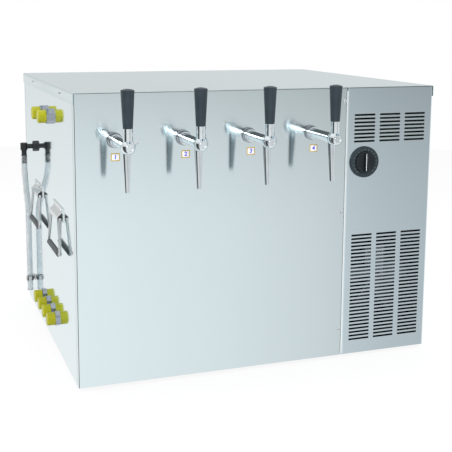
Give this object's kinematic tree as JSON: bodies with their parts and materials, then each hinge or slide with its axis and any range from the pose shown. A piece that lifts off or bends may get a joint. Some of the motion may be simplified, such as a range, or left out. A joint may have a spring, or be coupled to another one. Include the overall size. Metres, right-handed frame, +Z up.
{
  "type": "water bath beer cooler",
  "caption": "Water bath beer cooler: brushed steel cabinet with chrome lever taps, slotted cooling panel with thermostat dial, capped line connectors, overflow hose and fold-down handles.",
  "frame": {"origin": "centre of the bounding box in plan, on the ground plane under the feet", "axes": "+X to the right of a person facing the taps, +Y from the taps towards the rear, +Z up"},
  "size_m": [0.8018, 0.7772, 0.582],
  "materials": {
    "brushed_steel_panel": "fine horizontal grain, satin",
    "tank_steel": "satin",
    "chrome_fittings": "polished",
    "black_plastic": "satin",
    "lever_grip_black": "satin",
    "yellow_caps": "soft, slightly translucent",
    "rubber": "matt",
    "insulation_foam": "matt",
    "copper_tube": "drawn tube",
    "clear_hose": "clear, soft",
    "black_paint": "satin",
    "aluminium": "rolled",
    "zinc_plated": "zinc plated, bright",
    "grip_sleeve": "fine texture",
    "dial_grey": "satin"
  },
  "bodies": {
    "cabinet": {"base_pan": "zinc_plated", "feet": "rubber", "front_panel": "brushed_steel_panel", "service_panel": "brushed_steel_panel", "left_panel": "brushed_steel_panel", "right_panel": "brushed_steel_panel", "rear_panel": "brushed_steel_panel", "top_cover": "brushed_steel_panel", "cabinet_screws": "chrome_fittings", "bath_tank": "tank_steel", "insulation": "insulation_foam", "bath_deck": "insulation_foam", "evaporator_coil": "copper_tube", "beer_coils": "tank_steel", "agitator_motor": "black_paint", "compressor": "black_paint", "compressor_grommets": "rubber", "condenser": "aluminium", "fan_shroud": "zinc_plated", "fan_motor": "black_paint", "thermostat_body": "black_plastic", "thermostat_bezel": "dial_grey", "overflow_elbow": "black_plastic", "overflow_hose": "clear_hose", "hose_clip": "zinc_plated", "line_stems": "chrome_fittings", "lock_nuts": "chrome_fittings", "mains_gland": "black_plastic", "handle_brackets": "zinc_plated", "tap_flanges": "chrome_fittings", "tap_bodies": "chrome_fittings"},
    "tap_handle_1": {"tap_lever_1": "chrome_fittings", "tap_grip_1": "lever_grip_black"},
    "tap_handle_2": {"tap_lever_2": "chrome_fittings", "tap_grip_2": "lever_grip_black"},
    "tap_handle_3": {"tap_lever_3": "chrome_fittings", "tap_grip_3": "lever_grip_black"},
    "tap_handle_4": {"tap_lever_4": "chrome_fittings", "tap_grip_4": "lever_grip_black"},
    "compensator_1": {"tap_compensator_1": "chrome_fittings"},
    "compensator_2": {"tap_compensator_2": "chrome_fittings"},
    "compensator_3": {"tap_compensator_3": "chrome_fittings"},
    "compensator_4": {"tap_compensator_4": "chrome_fittings"},
    "inlet_cap_1": {"inlet_cap_1": "yellow_caps"},
    "inlet_cap_2": {"inlet_cap_2": "yellow_caps"},
    "inlet_cap_3": {"inlet_cap_3": "yellow_caps"},
    "inlet_cap_4": {"inlet_cap_4": "yellow_caps"},
    "water_cap_1": {"water_cap_1": "yellow_caps"},
    "water_cap_2": {"water_cap_2": "yellow_caps"},
    "handle_1": {"handle_bail_1": "zinc_plated", "handle_grip_1": "grip_sleeve"},
    "handle_2": {"handle_bail_2": "zinc_plated", "handle_grip_2": "grip_sleeve"},
    "handle_3": {"handle_bail_3": "zinc_plated", "handle_grip_3": "grip_sleeve"},
    "handle_4": {"handle_bail_4": "zinc_plated", "handle_grip_4": "grip_sleeve"},
    "thermostat_knob": {"thermostat_knob": "black_plastic"},
    "fan": {"fan_blades": "aluminium"},
    "agitator": {"agitator_rotor": "tank_steel"}
  },
  "joints": [
    {"name": "tap_1_pull", "type": "hinge", "parent": "cabinet", "child": "tap_handle_1", "pos_m": [-0.29187, -0.37635, 0.48], "axis": [1, 0, 0], "range_deg": [0, 40]},
    {"name": "tap_2_pull", "type": "hinge", "parent": "cabinet", "child": "tap_handle_2", "pos_m": [-0.15887, -0.37635, 0.48], "axis": [1, 0, 0], "range_deg": [0, 40]},
    {"name": "tap_3_pull", "type": "hinge", "parent": "cabinet", "child": "tap_handle_3", "pos_m": [-0.02587, -0.37635, 0.48], "axis": [1, 0, 0], "range_deg": [0, 40]},
    {"name": "tap_4_pull", "type": "hinge", "parent": "cabinet", "child": "tap_handle_4", "pos_m": [0.10713, -0.37635, 0.48], "axis": [1, 0, 0], "range_deg": [0, 40]},
    {"name": "compensator_1_turn", "type": "hinge", "parent": "cabinet", "child": "compensator_1", "pos_m": [-0.29187, -0.34935, 0.48], "axis": [1, 0, 0], "range_deg": [-132, 20]},
    {"name": "compensator_2_turn", "type": "hinge", "parent": "cabinet", "child": "compensator_2", "pos_m": [-0.15887, -0.34935, 0.48], "axis": [1, 0, 0], "range_deg": [0, 152]},
    {"name": "compensator_3_turn", "type": "hinge", "parent": "cabinet", "child": "compensator_3", "pos_m": [-0.02587, -0.34935, 0.48], "axis": [1, 0, 0], "range_deg": [0, 152]},
    {"name": "compensator_4_turn", "type": "hinge", "parent": "cabinet", "child": "compensator_4", "pos_m": [0.10713, -0.34935, 0.48], "axis": [1, 0, 0], "range_deg": [0, 152]},
    {"name": "inlet_cap_1_pull", "type": "slide", "parent": "cabinet", "child": "inlet_cap_1", "axis": [-1, 0, 0], "range_m": [0, 0.045]},
    {"name": "inlet_cap_2_pull", "type": "slide", "parent": "cabinet", "child": "inlet_cap_2", "axis": [-1, 0, 0], "range_m": [0, 0.045]},
    {"name": "inlet_cap_3_pull", "type": "slide", "parent": "cabinet", "child": "inlet_cap_3", "axis": [-1, 0, 0], "range_m": [0, 0.045]},
    {"name": "inlet_cap_4_pull", "type": "slide", "parent": "cabinet", "child": "inlet_cap_4", "axis": [-1, 0, 0], "range_m": [0, 0.045]},
    {"name": "water_cap_1_pull", "type": "slide", "parent": "cabinet", "child": "water_cap_1", "axis": [-1, 0, 0], "range_m": [0, 0.045]},
    {"name": "water_cap_2_pull", "type": "slide", "parent": "cabinet", "child": "water_cap_2", "axis": [-1, 0, 0], "range_m": [0, 0.045]},
    {"name": "handle_1_lift", "type": "hinge", "parent": "cabinet", "child": "handle_1", "pos_m": [-0.37237, -0.09035, 0.308], "axis": [0, 1, 0], "range_deg": [0, 80]},
    {"name": "handle_2_lift", "type": "hinge", "parent": "cabinet", "child": "handle_2", "pos_m": [-0.37237, 0.16465, 0.308], "axis": [0, 1, 0], "range_deg": [0, 80]},
    {"name": "handle_3_lift", "type": "hinge", "parent": "cabinet", "child": "handle_3", "pos_m": [0.39063, -0.09035, 0.308], "axis": [0, -1, 0], "range_deg": [0, 80]},
    {"name": "handle_4_lift", "type": "hinge", "parent": "cabinet", "child": "handle_4", "pos_m": [0.39063, 0.16465, 0.308], "axis": [0, -1, 0], "range_deg": [0, 80]},
    {"name": "thermostat_turn", "type": "hinge", "parent": "cabinet", "child": "thermostat_knob", "pos_m": [0.22813, -0.27135, 0.415], "axis": [0, 1, 0], "range_deg": [0, 270]},
    {"name": "fan_spin", "type": "hinge", "parent": "cabinet", "child": "fan", "pos_m": [0.28563, -0.23135, 0.15015], "axis": [0, 1, 0], "continuous": true},
    {"name": "agitator_spin", "type": "hinge", "parent": "cabinet", "child": "agitator", "pos_m": [-0.08867, 0.04565, 0.208], "axis": [0, 0, 1], "continuous": true}
  ]
}
